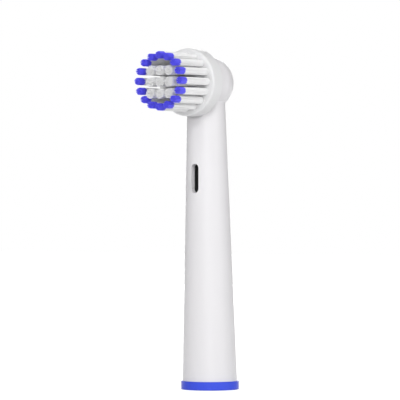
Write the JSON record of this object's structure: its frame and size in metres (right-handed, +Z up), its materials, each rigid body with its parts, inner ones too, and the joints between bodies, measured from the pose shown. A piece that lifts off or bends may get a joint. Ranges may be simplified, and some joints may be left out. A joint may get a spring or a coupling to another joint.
{
  "type": "electric toothbrush head",
  "caption": "Click-on head for an electric toothbrush: tapered white neck, blue foot ring, and a round bristle disc that a crank inside swings to and fro.",
  "frame": {"origin": "centre of the foot, on the axis of the socket for the handle's nose", "axes": "+Z up the neck along the drive axis, bristles point along -Y, +X to the right when the bristles face the viewer"},
  "size_m": [0.0156, 0.0271, 0.0793],
  "materials": {
    "housing_white": "smooth satin-gloss moulded",
    "insert_white": "smooth moulded",
    "ring_blue": "smooth gloss moulded",
    "pin_steel": "ground",
    "coupler_black": "smooth moulded",
    "disc_white": "smooth moulded",
    "anchor_brass": "stamped",
    "bristle_dyed": "fine nylon filaments, white with blue dyed ends",
    "bristle_white": "fine nylon filaments"
  },
  "bodies": {
    "neck": {"neck_tube": "housing_white", "base_insert": "insert_white", "colour_ring": "ring_blue", "lock_pin": "housing_white"},
    "drive": {"drive_coupler": "coupler_black", "drive_shaft": "pin_steel", "crank": "pin_steel"},
    "disc": {"bristle_disc": "disc_white", "disc_axle": "pin_steel", "tuft_anchors": "anchor_brass", "tuft_outer_01": "bristle_dyed", "tuft_outer_02": "bristle_dyed", "tuft_outer_03": "bristle_dyed", "tuft_outer_04": "bristle_dyed", "tuft_outer_05": "bristle_dyed", "tuft_outer_06": "bristle_dyed", "tuft_outer_07": "bristle_dyed", "tuft_outer_08": "bristle_dyed", "tuft_outer_09": "bristle_dyed", "tuft_outer_10": "bristle_dyed", "tuft_outer_11": "bristle_dyed", "tuft_outer_12": "bristle_dyed", "tuft_outer_13": "bristle_dyed", "tuft_outer_14": "bristle_dyed", "tuft_outer_15": "bristle_dyed", "tuft_outer_16": "bristle_dyed", "tuft_inner_01": "bristle_white", "tuft_inner_02": "bristle_white", "tuft_inner_03": "bristle_white", "tuft_inner_04": "bristle_white", "tuft_inner_05": "bristle_white", "tuft_inner_06": "bristle_white", "tuft_inner_07": "bristle_white", "tuft_inner_08": "bristle_white", "tuft_inner_09": "bristle_white"}
  },
  "joints": [
    {"name": "disc_swing", "type": "hinge", "parent": "neck", "child": "disc", "pos_m": [0, 0, 0.07145], "axis": [0, -1, 0], "range_deg": [-22.5, 22.5]},
    {"name": "drive_swing", "type": "hinge", "parent": "neck", "child": "drive", "pos_m": [0, 0, 0.0063], "axis": [0, 0, 1], "range_deg": [-30, 30]}
  ],
  "couplings": [
    {"joint": "drive_swing", "follows": "disc_swing", "ratio": 1.3333}
  ]
}
